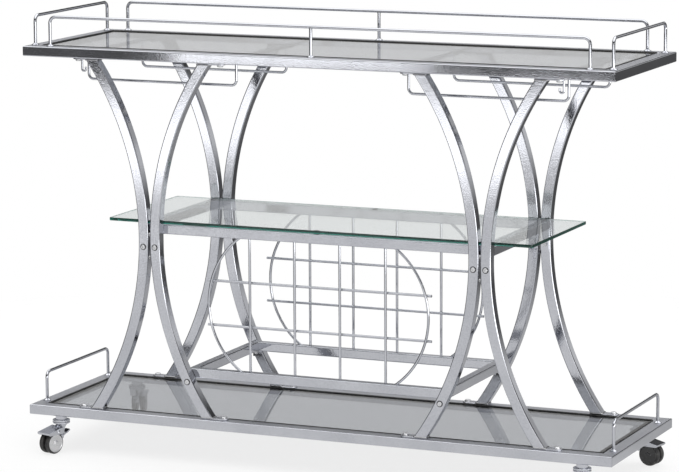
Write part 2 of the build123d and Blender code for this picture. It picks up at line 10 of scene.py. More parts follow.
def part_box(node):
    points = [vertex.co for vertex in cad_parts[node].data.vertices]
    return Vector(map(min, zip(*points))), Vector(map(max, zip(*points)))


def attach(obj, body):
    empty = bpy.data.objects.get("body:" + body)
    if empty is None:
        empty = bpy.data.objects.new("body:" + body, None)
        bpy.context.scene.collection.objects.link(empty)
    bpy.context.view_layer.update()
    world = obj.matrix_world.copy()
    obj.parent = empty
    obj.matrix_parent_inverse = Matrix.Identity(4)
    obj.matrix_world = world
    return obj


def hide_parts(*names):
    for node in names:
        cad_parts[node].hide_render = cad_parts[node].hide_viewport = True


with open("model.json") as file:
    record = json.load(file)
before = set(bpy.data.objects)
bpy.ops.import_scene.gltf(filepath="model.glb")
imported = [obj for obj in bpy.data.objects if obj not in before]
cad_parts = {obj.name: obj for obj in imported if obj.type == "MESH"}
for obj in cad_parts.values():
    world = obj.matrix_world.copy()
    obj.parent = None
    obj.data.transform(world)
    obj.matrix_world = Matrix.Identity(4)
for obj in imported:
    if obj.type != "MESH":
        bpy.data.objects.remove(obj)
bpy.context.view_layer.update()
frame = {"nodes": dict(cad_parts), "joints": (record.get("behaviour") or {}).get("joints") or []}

bl_info = {
    "name": "Bar Cart",
    "version": (1, 0, 0),
    "blender": (4, 5, 0),
    "location": "3D View > Sidebar > Bar Cart",
    "description": "Dresses a chrome and glass bar cart and sets it in a plain studio",
    "category": "Add Mesh",
}

NODES = frame["nodes"]
JOINTS = {joint["name"]: joint for joint in frame["joints"]}
CART = "cart"

# Names that the casters and the pairs of legs share, and the two legs of a pair.
CORNERS = ("front_left", "front_right", "back_left", "back_right")
RANKS = ("outer", "inner")

# Upward direction.
UP = np.array([0.0, 0.0, 1.0])

# Camera: width of its picture in pixels, width of its sensor in millimetres, and its reach in metres.
IMAGE_WIDTH = 679
SENSOR_WIDTH = 36.0
CLIP_END = 200.0

# Outline of a wheel's section: radius and distance from the caster's middle, in metres; and how often its
# corners are cut to soften it.
TYRE_SECTION = np.array([
    (0.0031, 0.0032), (0.0192, 0.0032), (0.0209, 0.0046), (0.0210, 0.0056), (0.0210, 0.0066),
    (0.0205, 0.0068), (0.0205, 0.0072), (0.0210, 0.0074), (0.0210, 0.0086), (0.0205, 0.0088),
    (0.0205, 0.0092), (0.0210, 0.0094), (0.0210, 0.0104), (0.0209, 0.0114), (0.0193, 0.0128),
    (0.0182, 0.0130), (0.0174, 0.0129), (0.0169, 0.0125), (0.0158, 0.0122), (0.0060, 0.0122),
    (0.0052, 0.0128), (0.0031, 0.0128)])
TYRE_SOFTENING = 2

# Sections of the screws' black rings, which are painted shade, the rivets and the wheels' discs: radius and
# distance along the axis, in metres; and the steps round a ring or rivet.
RING_SECTION = np.array([
    (0.0046, 0.0), (0.0060, 0.0), (0.0061, 0.0004), (0.0058, 0.0009), (0.0046, 0.0009)])
RIVET_SECTION = np.array([
    (0.0, 0.0023), (0.0009, 0.0023), (0.0022, 0.0020), (0.0034, 0.0014), (0.0041, 0.0007),
    (0.0044, 0.0), (0.0044, -0.0005), (0.0, -0.0005)])
DISC_SECTION = np.array([
    (0.0, 0.0152), (0.0036, 0.0151), (0.0048, 0.0149), (0.0054, 0.0145), (0.0057, 0.0139),
    (0.0062, 0.0138), (0.0100, 0.0137), (0.0150, 0.0133), (0.0158, 0.0133), (0.0162, 0.0136),
    (0.0167, 0.0138), (0.0172, 0.0137), (0.0175, 0.0134), (0.0176, 0.0130), (0.0176, 0.0124),
    (0.0, 0.0124)])
RING_SECTORS = 32

# Section of the black strip round a tray's glass, painted shade in the gap at the rails: inset from the rail
# and height above the glass, in metres; and how often its corners are cut.
GAP_SHADE_SECTION = np.array([
    (0.0002, 0.0), (0.0002, 0.0016), (0.0006, 0.0021), (0.0015, 0.0022), (0.0023, 0.0016),
    (0.0028, 0.0004), (0.0030, 0.0)])
GAP_SHADE_SOFTENING = 1

# Hood rivet from the axle, in metres: away from the stem, upwards, and sideways to the hood's wall.
RIVET_AHEAD, RIVET_UP, RIVET_ASIDE = -0.005, 0.0219, 0.0166

# Legs: steps along the curve, round a corner of the tube and round a plate; the share of a flat side that
# lies beside a corner; the radius of the plates' edges, in metres.
LEG_STEPS = 120
CORNER_STEPS = 7
PLATE_STEPS = 24
FLAT_MARGIN = 0.03
PLATE_ARRIS = 0.0005

# Sheets and slabs: steps round a corner and over a rounded edge, and the rows of points on the faces, as
# multiples of the edge's radius from the outline.
SHEET_STEPS = 6
ARRIS_STEPS = 4
FACE_ROWS = np.array([3.2, 1.6])

# Weld beads: steps round a leg's corner, points of the path round a leg, ripples along each kind of bead,
# rows of a waist bead, the angle in radians at which a saddle's path starts, and the turn in degrees above
# which an edge stays sharp.
BEAD_CORNER_STEPS = 12
BEAD_POINTS = 96
LEG_RIPPLES = 34
WIRE_RIPPLES = 11
SADDLE_RIPPLES = 12
NUGGET_RIPPLES = 4
WAIST_RIPPLES = 10
WAIST_ROWS = 24
SADDLE_START = 0.01
WELD_SHARP = 60.0

# Bottle grids: uprights in pitches from the middle, and level wires as shares of the height.
GRID_PITCHES = (-1.5, -0.5, 0.5, 1.5)
GRID_LEVELS = (1 / 3, 2 / 3)

# Noise values at which clouds, the painted shade in the grain's low spots and patches are absent and full,
# and the upward part of a normal at which plating starts to turn satin and is satin.
CLOUD_RANGE = (0.35, 0.65)
LOW_SPOT_RANGE = (0.52, 0.40)
PATCH_RANGE = (0.42, 0.68)
SATIN_RANGE = (0.97, 0.995)

# Rubber and glossy plastic: scales of the textures per metre, depth of the grain in metres, and lowest and
# highest roughness.
DUST_SCALE = 90.0
RUBBER_GRAIN_SCALE = 2500.0
RUBBER_GRAIN_DEPTH = 0.0001
RUBBER_ROUGHNESS = (0.35, 0.7)
GLOSS_MARK_SCALE = 60.0
GLOSS_ROUGHNESS = 0.25

# Sockets of a Mix node for colours: share, first and second colour, and result.
MIX_SHARE, MIX_FIRST, MIX_SECOND, MIX_RESULT = 0, 6, 7, 2

# Brightness of the studio by height above the horizon, in degrees.
STUDIO_LEVELS = (
    (-90.0, 0.10), (-30.0, 0.36), (-12.0, 0.50), (-9.6, 1.12), (-8.9, 1.12), (-7.3, 0.11), (-2.0, 0.11),
    (2.0, 0.50), (4.5, 0.72), (7.5, 0.72), (9.0, 0.50), (14.0, 0.50), (18.0, 0.06), (30.0, 0.06),
    (42.0, 1.45), (60.0, 1.9))

# The studio is darker on the left, and behind and below the cart: parts of a direction along X, Y and Z at
# which each change starts and ends, the share that stays on the left, and the share that goes behind and
# below.
LEFT_RANGE = (-0.92, -0.55)
LEFT_LEVEL = 0.12
BEHIND_RANGE = (0.10, 0.40)
BELOW_RANGE = (-0.11, -0.14)
DUSK = 0.8

# Light panels: name, middle, width and height in metres, and the setting that holds the brightness.
PANELS = (
    ("low_panel", (-1.48, -3.60, 0.15), 1.76, 0.28, "panel"),
    ("high_panel", (-1.54, -3.60, 0.40), 0.78, 0.12, "panel"),
    ("key_panel", (1.83, -4.22, 0.30), 3.6, 0.6, "key"),
    ("side_panel", (2.30, -0.75, 0.30), 3.2, 0.6, "side"),
)

# Floor: rings of faces and steps round them.
FLOOR_RINGS = 12
FLOOR_SECTORS = 96


def colour(name, description, default):
    """Colour property with a colour picker."""
    return FloatVectorProperty(name=name, description=description, subtype="COLOR", size=3,
                               min=0.0, max=1.0, default=default)


def length(name, description, default):
    """Size property in metres."""
    return FloatProperty(name=name, description=description, unit="LENGTH", default=default, precision=5)


def factor(name, description, default):
    """Share from none to all."""
    return FloatProperty(name=name, description=description, subtype="FACTOR", min=0.0, max=1.0,
                         default=default)


def angle(name, description, degrees):
    """Angle property, its default given in degrees."""
    return FloatProperty(name=name, description=description, subtype="ANGLE", default=math.radians(degrees))


def brightness(name, description, default):
    """Light level, where 1 is white in the picture."""
    return FloatProperty(name=name, description=description, min=0.0, default=default)


def position(name, description, default):
    """Place in metres."""
    return FloatVectorProperty(name=name, description=description, unit="LENGTH", size=3, default=default)


class ChromeFinish(bpy.types.PropertyGroup):
    """Bright plating with a fine hammered grain."""

    bright: colour("Bright", "Plating where it is clean", (0.59, 0.60, 0.64))
    dull: colour("Dull", "Plating where it is a little clouded", (0.53, 0.54, 0.58))
    seam: colour("Seam", "Ground weld seam at a mitred corner", (0.20, 0.20, 0.21))
    smooth: factor("Smooth", "Roughness of the clean plating", 0.03)
    clouded: factor("Clouded", "Roughness of the clouded plating", 0.07)
    satin: factor("Satin", "Roughness of faces that look up", 0.42)
    # Painted shade: the plating in the grain's low spots, the hollows of its bump, is darker.
    pit_shade: colour("Pits", "Plating in the low spots of the grain", (0.20, 0.205, 0.22))
    pit_shade_share: factor("Pit shade share", "How strongly the low spots of the grain show", 0.16)
    grain_size: length("Grain size", "Width of the hammered grain", 0.0020)
    grain_depth: length("Grain depth", "Height of the hammered grain on tubes", 0.000046)
    rail_grain_depth: length("Rail grain depth", "Height of the grain on the trays' rails", 0.000028)
    rod_grain_depth: length("Rod grain depth", "Height of the grain on rods and castings", 0.000006)
    cloud_size: length("Cloud size", "Width of the clouded patches", 0.09)
    seam_width: length("Seam width", "Width of the seam at a mitred corner", 0.0007)
    zinc: colour("Zinc", "Satin zinc of screws and nuts", (0.78, 0.785, 0.80))
    zinc_dull: colour("Dull zinc", "Zinc where it is a little clouded", (0.62, 0.625, 0.64))
    zinc_satin: factor("Zinc satin", "What zinc is rougher than bright plating", 0.3)
    # Painted shade: black rings round the screw heads stand in for the shade where the heads meet the legs.
    screw_shade: colour("Screw shade", "Rings round the screw heads", (0.012, 0.012, 0.013))
    # Painted shade: the ledges under the glass are black, for the dark line of shade along the glass's edges.
    ledge_shade: colour("Ledge shade", "Glazing tape on the ledges under the trays' glass", (0.010, 0.010, 0.011))


class GlassFinish(bpy.types.PropertyGroup):
    """Tray panels, shelf and pads."""

    tray_tint: colour("Tray tint", "Grey tint of the trays' panels", (0.40, 0.415, 0.44))
    shelf_tint: colour("Shelf tint", "Faint green of the shelf", (0.89, 0.925, 0.925))
    edge_tint: colour("Edge tint", "Deep green of the shelf's edge", (0.02, 0.20, 0.16))
    edge_glow: colour("Edge glow", "Light that leaves the shelf at its edge", (0.005, 0.028, 0.021))
    pad_tint: colour("Pad tint", "Clear pads under the shelf", (0.90, 0.92, 0.92))
    smudge: factor("Smudge", "Roughness where the glass was handled", 0.03)
    smudge_size: length("Smudge size", "Width of the handled patches", 0.12)
    corner: length("Corner", "Radius of the panels' corners", 0.004)
    arris: length("Arris", "Radius of the ground edges", 0.0009)
    gap: length("Gap", "Gap between a tray's glass and its rails", 0.001)
    # The strips round the tray glass are black painted shade in the gap between the glass and the rails.
    gap_shade_corner: length("Gap shade corner", "Radius of the glazing seals' corners", 0.006)


class WheelFinish(bpy.types.PropertyGroup):
    """Tyres and the discs on their faces."""

    rubber: colour("Rubber", "Colour of the tyres", (0.012, 0.012, 0.013))
    dust: colour("Dust", "Dust on the tread", (0.06, 0.058, 0.055))
    # Painted reflection: the front discs are light and the back discs black, lit and shaded copies of one
    # chrome cap.
    front_disc_lit: colour("Front disc lit", "Pressed discs of the front wheels", (0.68, 0.68, 0.69))
    disc_satin: factor("Disc satin", "What the metal discs are rougher than bright plating", 0.22)
    back_disc_dark: colour("Back disc dark", "Glossy discs of the back wheels", (0.010, 0.010, 0.011))
    sectors: IntProperty(name="Sectors", description="Steps round a wheel", min=24, default=96)


class WeldSizes(bpy.types.PropertyGroup):
    """Weld beads and the members they join."""

    leg_bead: length("Leg bead", "Radius of the bead round a leg on its plate", 0.0016)
    wire_bead: length("Wire bead", "Radius of the bead round a wire's end", 0.0011)
    saddle_bead: length("Saddle bead", "Radius of the bead under a guard rail's middle post", 0.00077)
    nugget: length("Nugget", "Radius of a spot weld between crossing wires", 0.0032)
    nugget_depth: length("Nugget depth", "Half depth of a spot weld between crossing wires", 0.0024)
    waist_bead: length("Waist bead", "Radius of the upright beads at the legs' waists", 0.0034)
    waist_length: length("Waist length", "Height of the upright beads at the legs' waists", 0.008)
    waist_inset: length("Waist inset", "Depth of the waists' beads behind the legs' faces", 0.0035)
    ripple: factor("Ripple", "Depth of the ripples along a bead", 0.14)
    waist_ripple: factor("Waist ripple", "Depth of the ripples along a waist's bead", 0.084)
    metal: colour("Weld metal", "Colour of the plated weld", (0.42, 0.42, 0.43))
    tray_tube: length("Tray tube", "Width of the trays' rails", 0.027)
    frame_tube: length("Frame tube", "Side of the shelf's and the rack's tube", 0.018)
    rod: length("Rod", "Radius of the guard rails' rods", 0.003)
    leg_size: length("Leg size", "Side of a leg's square tube", 0.020)
    leg_corner: length("Leg corner", "Radius of a leg's edges", 0.002)
    plate: length("Plate", "Thickness of a leg's plates", 0.003)
    plate_lap: length("Plate lap", "Reach of a leg's plate behind the leg's middle", 0.015)
    waist_offset: length("Waist offset", "Leg's middle from its pair's middle at the waist", 0.012)
    foot_splay: length("Foot splay", "Leg's middle from its pair's middle at the foot", 0.120)
    upright_pitch: length("Upright pitch", "Distance between the bottle grid's uprights", 0.093)
    ring_bulge: length("Ring bulge", "Reach of the bottle grid's bowed ends", 0.226)
    ring_radius: length("Ring radius", "Radius of the bottle grid's bowed ends", 0.160)


class StudioLook(bpy.types.PropertyGroup):
    """Floor, lights and camera."""

    floor_colour: colour("Floor", "Colour of the floor", (0.20, 0.20, 0.20))
    floor_glow: brightness("Floor glow", "Light that the floor gives off and that softens shadows", 0.79)
    front_loss: factor("Front loss", "Share of the floor's glow that reflections miss in front", 0.22)
    back_loss: factor("Back loss", "Share of the floor's glow that reflections miss behind the cart", 0.60)
    floor_dusk: length("Floor dusk", "Depth behind the middle at which the back loss is reached", 0.35)
    floor_margin: length("Floor margin", "Solid floor on both sides of its middle line", 0.9)
    floor_fade: length("Floor fade", "Width of the floor's soft edge", 1.0)
    floor_end: position("Floor end", "Front end of the floor's middle line, which starts under the cart",
                        (0.3, -2.6, 0.0))
    background: brightness("Background", "What the camera sees behind the floor", 1.0)
    panel: brightness("Panel", "Brightness of the upright light panels in front", 1.65)
    key: brightness("Key", "Brightness of the light panel below the camera", 1.6)
    side: brightness("Side", "Brightness of the light panel on the right, which upright edges show", 3.0)
    camera_azimuth: angle("Camera azimuth", "Turn of the camera from the front to the right", 23.433)
    camera_elevation: angle("Camera elevation", "Height of the camera above the level", 9.344)
    camera_roll: angle("Camera roll", "Tilt of the camera about its view", -0.247)
    camera_distance: length("Camera distance", "Distance from the camera to the point it aims at", 6.3711)
    camera_aim: position("Camera aim", "Point that the camera looks at", (-0.0146, 0.0, 0.4326))
    focal_pixels: FloatProperty(name="Focal length", description="Focal length in pixels of the picture",
                                default=3318.8)


class BarCartSettings(bpy.types.PropertyGroup):
    """All sizes and colours of the bar cart."""

    chrome: PointerProperty(type=ChromeFinish)
    glass: PointerProperty(type=GlassFinish)
    wheel: PointerProperty(type=WheelFinish)
    weld: PointerProperty(type=WeldSizes)
    studio: PointerProperty(type=StudioLook)


def settings():
    """Settings of the open scene."""
    return bpy.context.scene.bar_cart


def rgba(rgb):
    """Opaque colour for a shader socket."""
    return (*rgb, 1.0)


def feed(node, inputs):
    """Sets a node's inputs; each value is a constant or another node's output."""
    for name, value in inputs.items():
        if isinstance(value, bpy.types.NodeSocket):
            node.id_data.links.new(value, node.inputs[name])
        else:
            node.inputs[name].default_value = value


def add_node(tree, kind, inputs=None, **attributes):
    """Adds a node, sets its attributes and feeds its inputs."""
    node = tree.nodes.new(kind)
    for name, value in attributes.items():
        setattr(node, name, value)
    feed(node, inputs or {})
    return node


def math_node(tree, operation, *operands):
    """Adds a Math node; an operand is a number or another node's output. Returns its output."""
    node = add_node(tree, "ShaderNodeMath", dict(enumerate(operands)), operation=operation)
    return node.outputs["Value"]


def map_range(tree, value, start, end, low=0.0, high=1.0):
    """Adds a node that goes from low where the value is start to high where it is end. Returns its output."""
    node = add_node(tree, "ShaderNodeMapRange", {"Value": value, "From Min": start, "From Max": end,
                                                 "To Min": low, "To Max": high})
    return node.outputs["Result"]


def mix_colours(tree, share, first, second):
    """Adds a colour mix; first and second are colours or other nodes' outputs. Returns its output."""
    mix = add_node(tree, "ShaderNodeMix", {MIX_SHARE: share, MIX_FIRST: first, MIX_SECOND: second},
                   data_type="RGBA")
    return mix.outputs[MIX_RESULT]


def vector_node(tree, operation, inputs, result):
    """Adds a Vector Math node. Returns the output of that name."""
    return add_node(tree, "ShaderNodeVectorMath", inputs, operation=operation).outputs[result]


def parts_of(tree, vector):
    """Adds the parts of a vector along X, Y and Z. Returns their outputs."""
    return add_node(tree, "ShaderNodeSeparateXYZ", {0: vector}).outputs


def object_place(tree):
    """Adds the place on the object, in metres. Returns its output."""
    return add_node(tree, "ShaderNodeTexCoord").outputs["Object"]


def noise(tree, place, scale, detail, roughness=0.5):
    """Adds a noise texture with a scale per metre. Returns its value."""
    inputs = {"Vector": place, "Scale": scale, "Detail": detail, "Roughness": roughness}
    return add_node(tree, "ShaderNodeTexNoise", inputs).outputs["Fac"]


def raised(tree, height, depth, strength=1.0):
    """Adds a bump with a depth in metres. Returns its normal."""
    inputs = {"Height": height, "Distance": depth, "Strength": strength}
    return add_node(tree, "ShaderNodeBump", inputs).outputs["Normal"]


def use_group(tree, group, inputs):
    """Adds a node group that gets the place on the object and other inputs. Returns its outputs."""
    given = {"Vector": object_place(tree), **inputs}
    return add_node(tree, "ShaderNodeGroup", given, node_tree=group).outputs


def shared_group(name, inputs, outputs, build):
    """Shader node group, made at its first use. Inputs and outputs give each socket's kind; build gets the
    group and its inputs and returns what feeds the outputs."""
    if name in bpy.data.node_groups:
        return bpy.data.node_groups[name]
    group = bpy.data.node_groups.new(name, "ShaderNodeTree")
    for direction, sockets in (("INPUT", inputs), ("OUTPUT", outputs)):
        for label, kind in sockets.items():
            group.interface.new_socket(label, in_out=direction, socket_type=f"NodeSocket{kind}")
    start = group.nodes.new("NodeGroupInput")
    end = group.nodes.new("NodeGroupOutput")
    feed(end, build(group, start.outputs))
    return group


def plated_grain_group():
    """Cloudy plating with a fine grain: colour, roughness and height that change over the surface. The colour
    is darkened in the grain's low spots, which is painted shade.
    """

    def build(group, given):
        grain = noise(group, given["Vector"], given["Grain Scale"], detail=1.0)
        cloud = noise(group, given["Vector"], given["Cloud Scale"], detail=3.0)
        share = map_range(group, cloud, *CLOUD_RANGE)
        tint = mix_colours(group, share, given["Bright"], given["Dull"])
        # Painted shade: the colour darkens in the grain's low spots, the hollows of the bump.
        low_spot = map_range(group, grain, *LOW_SPOT_RANGE)
        pit_shade_amount = math_node(group, "MULTIPLY", low_spot, given["Pit Share"])
        return {"Color": mix_colours(group, pit_shade_amount, tint, given["Pits"]),
                "Roughness": map_range(group, share, 0.0, 1.0, given["Smooth"], given["Clouded"]),
                "Height": grain}

    shades = ("Bright", "Dull", "Pits")
    amounts = ("Pit Share", "Smooth", "Clouded", "Grain Scale", "Cloud Scale")
    inputs = {"Vector": "Vector", **dict.fromkeys(shades, "Color"), **dict.fromkeys(amounts, "Float")}
    outputs = {"Color": "Color", "Roughness": "Float", "Height": "Float"}
    return shared_group("plated_grain", inputs, outputs, build)


def mitre_seam_group():
    """Mask of the weld seams along the 45 degree lines at a rectangular frame's corners."""

    def build(group, given):
        parts = parts_of(group, given["Vector"])

        def inset(half, axis):
            return math_node(group, "SUBTRACT", given[half], math_node(group, "ABSOLUTE", parts[axis]))

        from_end = inset("Half Length", "X")
        from_side = inset("Half Depth", "Y")
        off_line = math_node(group, "ABSOLUTE", math_node(group, "SUBTRACT", from_end, from_side))
        on_line = map_range(group, off_line, 0.0, given["Width"], 1.0, 0.0)
        in_corner = math_node(group, "LESS_THAN", from_end, given["Tube"])
        return {"Mask": math_node(group, "MULTIPLY", on_line, in_corner)}

    sizes = ("Half Length", "Half Depth", "Tube", "Width")
    inputs = {"Vector": "Vector", **dict.fromkeys(sizes, "Float")}
    return shared_group("mitre_seam", inputs, {"Mask": "Float"}, build)


def patches_group():
    """Soft patches for dust and handling marks: a mask from 0 to 1."""

    def build(group, given):
        cloud = noise(group, given["Vector"], given["Scale"], detail=5.0, roughness=0.6)
        return {"Mask": map_range(group, cloud, *PATCH_RANGE)}

    return shared_group("patches", {"Vector": "Vector", "Scale": "Float"}, {"Mask": "Float"}, build)


def new_material(name):
    """Material with a Principled shader and its output. Returns the material, its tree and the shader."""
    material = bpy.data.materials.new(name)
    material.use_nodes = True
    tree = material.node_tree
    tree.nodes.clear()
    shader = add_node(tree, "ShaderNodeBsdfPrincipled")
    add_node(tree, "ShaderNodeOutputMaterial", {"Surface": shader.outputs["BSDF"]})
    return material, tree, shader


def satin_on_top(tree, roughness):
    """Adds a higher roughness on faces that look up. Returns its output."""
    normal = add_node(tree, "ShaderNodeNewGeometry").outputs["Normal"]
    satin = map_range(tree, parts_of(tree, normal)["Z"], *SATIN_RANGE, 0.0, settings().chrome.satin)
    return math_node(tree, "MAXIMUM", satin, roughness)


def plated_material(name, bright, dull, grain_depth, corners=None, rougher=0.0):
    """Plated steel. Corners, the half length, half depth and tube of a mitred frame, bring its seams; rougher
    is what a satin plate has more than bright plating."""
    finish = settings().chrome
    material, tree, shader = new_material(name)
    # The grain's colour carries painted shade in its low spots.
    grain = use_group(tree, plated_grain_group(), {
        "Bright": rgba(bright), "Dull": rgba(dull), "Pits": rgba(finish.pit_shade),
        "Pit Share": finish.pit_shade_share * grain_depth / finish.grain_depth,
        "Smooth": finish.smooth + rougher, "Clouded": finish.clouded + rougher,
        "Grain Scale": 1.0 / finish.grain_size, "Cloud Scale": 1.0 / finish.cloud_size})
    shade = grain["Color"]
    if corners:
        half_length, half_depth, tube = corners
        seam = use_group(tree, mitre_seam_group(), {
            "Half Length": half_length, "Half Depth": half_depth, "Tube": tube, "Width": finish.seam_width})
        shade = mix_colours(tree, seam["Mask"], shade, rgba(finish.seam))
    feed(shader, {"Base Color": shade, "Metallic": 1.0, "Roughness": satin_on_top(tree, grain["Roughness"]),
                  "Normal": raised(tree, grain["Height"], grain_depth)})
    return material


def chrome_material(name, grain_depth, corners=None):
    """Bright chrome plate."""
    finish = settings().chrome
    return plated_material(name, finish.bright, finish.dull, grain_depth, corners)


def patches(tree, scale):
    """Adds soft patches with a scale per metre. Returns their mask."""
    return use_group(tree, patches_group(), {"Scale": scale})["Mask"]


def glass_material(name, tint, edge_tint=None):
    """Glass with handling marks. An edge tint colours the ground edge, which then glows a little."""
    finish = settings().glass
    material, tree, shader = new_material(name)
    marks = patches(tree, 1.0 / finish.smudge_size)
    feed(shader, {"Base Color": rgba(tint), "Roughness": map_range(tree, marks, 0.0, 1.0, 0.0, finish.smudge),
                  "Transmission Weight": 1.0, "IOR": 1.5})
    if edge_tint:
        edge = add_node(tree, "ShaderNodeAttribute", attribute_name="edge").outputs["Fac"]
        dark = rgba((0.0, 0.0, 0.0))
        feed(shader, {"Base Color": mix_colours(tree, edge, rgba(tint), rgba(edge_tint)),
                      "Emission Color": mix_colours(tree, edge, dark, rgba(finish.edge_glow)),
                      "Emission Strength": 1.0})
    return material


def rubber_material(name):
    """Black rubber with dust in patches and a fine grain."""
    finish = settings().wheel
    material, tree, shader = new_material(name)
    dust = patches(tree, DUST_SCALE)
    grain = noise(tree, object_place(tree), RUBBER_GRAIN_SCALE, detail=2.0)
    feed(shader, {"Base Color": mix_colours(tree, dust, rgba(finish.rubber), rgba(finish.dust)),
                  "Roughness": map_range(tree, dust, 0.0, 1.0, *RUBBER_ROUGHNESS),
                  "Normal": raised(tree, grain, RUBBER_GRAIN_DEPTH, strength=0.5)})
    return material


def gloss_material(name, tint):
    """Glossy moulded plastic with faint handling marks."""
    material, tree, shader = new_material(name)
    marks = patches(tree, GLOSS_MARK_SCALE)
    feed(shader, {"Base Color": rgba(tint), "Coat Weight": 0.5,
                  "Roughness": map_range(tree, marks, 0.0, 1.0, 0.0, GLOSS_ROUGHNESS)})
    return material


def dress(starts, material):
    """Gives one material to the CAD nodes whose names start with one of the given words."""
    for name, node in NODES.items():
        if name.startswith(starts):
            slots = node.data.materials
            for i in range(len(slots)):
                slots[i] = material


def grid_faces(rows, columns, close_rows, close_columns):
    """Quads of a grid of points, seen from the side where rows go down and columns go to the right; a closed
    direction joins its last line to its first."""
    r = np.arange(rows if close_rows else rows - 1)[:, None]
    c = np.arange(columns if close_columns else columns - 1)[None, :]
    r_next, c_next = (r + 1) % rows, (c + 1) % columns
    corners = [r * columns + c, r_next * columns + c, r_next * columns + c_next, r * columns + c_next]
    return np.stack(corners, axis=-1).reshape(-1, 4)


def enclosed_volume(points, faces):
    """Signed volume of a closed surface, negative where its faces point inwards: a sixth of the sum of
    a . (b x c) over the triangles (a, b, c) of its triangles and quads."""
    total = 0.0
    for sides in (3, 4):
        some = np.array([f for f in faces if len(f) == sides], dtype=int).reshape(-1, sides)
        for k in range(1, sides - 1):
            a, b, c = points[some[:, 0]], points[some[:, k]], points[some[:, k + 1]]
            total += np.einsum("ij,ij->i", a, np.cross(b, c)).sum() / 6
    return total


def closed_surface(points, faces):
    """The surface with its faces turned outwards."""
    faces = [list(f) for f in faces]
    if enclosed_volume(points - points.mean(axis=0), faces) < 0:
        faces = [f[::-1] for f in faces]
    return points, faces


def join(surfaces):
    """One list of points and one of faces from several surfaces."""
    points, faces, start = [], [], 0
    for some_points, some_faces in surfaces:
        points.append(some_points)
        faces += [[i + start for i in f] for f in some_faces]
        start += len(some_points)
    return np.concatenate(points), faces


def new_object(name, data):
    """Object at the origin, linked to the scene."""
    thing = bpy.data.objects.new(name, data)
    bpy.context.scene.collection.objects.link(thing)
    return thing


def new_piece(name, surface, material, sharp_degrees=40.0):
    """Smooth-shaded mesh object at the origin; edges that turn by more than sharp_degrees stay sharp."""
    points, faces = surface
    mesh = bpy.data.meshes.new(name)
    mesh.from_pydata(points, [], faces)
    mesh.polygons.foreach_set("use_smooth", np.ones(len(mesh.polygons), dtype=bool))
    mesh.set_sharp_from_angle(angle=math.radians(sharp_degrees))
    mesh.update()
    mesh.materials.append(material)
    return new_object(name, mesh)


def part_of_cart(piece, body, slot, *nodes):
    """Lets a piece ride on a body and stand for CAD nodes, which it hides. The slot is not used."""
    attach(piece, body)
    if nodes:
        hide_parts(*nodes)


def full_turn(steps):
    """Angles once round, without the last, which is the first again."""
    return np.linspace(0.0, 2 * np.pi, steps, endpoint=False)


def level_outline(outline, z):
    """Points of a plan at one height."""
    return np.column_stack([outline, np.full(len(outline), z)])


def rounded_rectangle(half_x, half_y, radius, steps):
    """Outline of a rectangle with round corners, anticlockwise: a corner's point is its arc's middle plus the
    radius along an angle that goes from 0 to 360 degrees in four quarters."""
    turn = np.linspace(0.0, np.pi / 2, steps)
    arcs = []
    for quarter, (sx, sy) in enumerate(((1, 1), (-1, 1), (-1, -1), (1, -1))):
        a = turn + quarter * np.pi / 2
        arcs.append(np.column_stack([sx * (half_x - radius) + radius * np.cos(a),
                                     sy * (half_y - radius) + radius * np.sin(a)]))
    return np.concatenate(arcs)


def capped(rows, first_pole, last_pole):
    """Closed surface of outlines with equal counts, stacked from the top down, with a fan to a pole at either
    end."""
    count = len(rows[0])
    points = np.concatenate([*rows, [first_pole], [last_pole]])
    step = np.arange(count)
    after = (step + 1) % count
    last = (len(rows) - 1) * count
    pole = len(rows) * count
    faces = grid_faces(len(rows), count, False, True).tolist()
    faces += np.column_stack([np.full(count, pole), step, after]).tolist()
    faces += np.column_stack([np.full(count, pole + 1), last + after, last + step]).tolist()
    return closed_surface(points, faces)


def slab(outline, low_z, high_z, arris):
    """Level slab with rounded edges: outline gives its plan drawn in by an inset, and each step of the
    section has an inset and a height, from the top over the edge to the underside. Returns the surface and,
    for each point, 1 on the edge and 0 on the faces."""
    turn = np.linspace(0.0, np.pi / 2, ARRIS_STEPS)
    drop = arris * (1 - np.cos(turn))
    inset = arris * (1 - np.sin(turn))
    face_insets = FACE_ROWS * arris
    flat = np.zeros(len(FACE_ROWS))
    insets = np.concatenate([face_insets, inset, inset[::-1], face_insets[::-1]])
    heights = np.concatenate([high_z - flat, high_z - drop, low_z + drop[::-1], low_z + flat])
    on_edge = np.concatenate([flat, np.ones(2 * ARRIS_STEPS), flat])
    plans = [outline(pull) for pull in insets]
    rows = [level_outline(plan, z) for plan, z in zip(plans, heights)]
    middle = plans[0].mean(axis=0)
    mask = np.concatenate([np.repeat(on_edge, len(plans[0])), [0, 0]])
    return capped(rows, [*middle, high_z], [*middle, low_z]), mask


def sheet_outline(low, high, corner):
    """Function that gives the plan of a box with round corners, drawn in by an inset."""
    middle = (low + high) / 2
    half_x, half_y = high.x - middle.x, high.y - middle.y

    def outline(pull):
        plan = rounded_rectangle(half_x - pull, half_y - pull, corner - pull, SHEET_STEPS)
        return plan + (middle.x, middle.y)

    return outline


def softened(section, rounds):
    """Closed outline with its corners cut: each round puts points at 1/4 and 3/4 of every side."""
    for _ in range(rounds):
        after = np.roll(section, -1, axis=0)
        pairs = [0.75 * section + 0.25 * after, 0.25 * section + 0.75 * after]
        section = np.stack(pairs, axis=1).reshape(-1, 2)
    return section


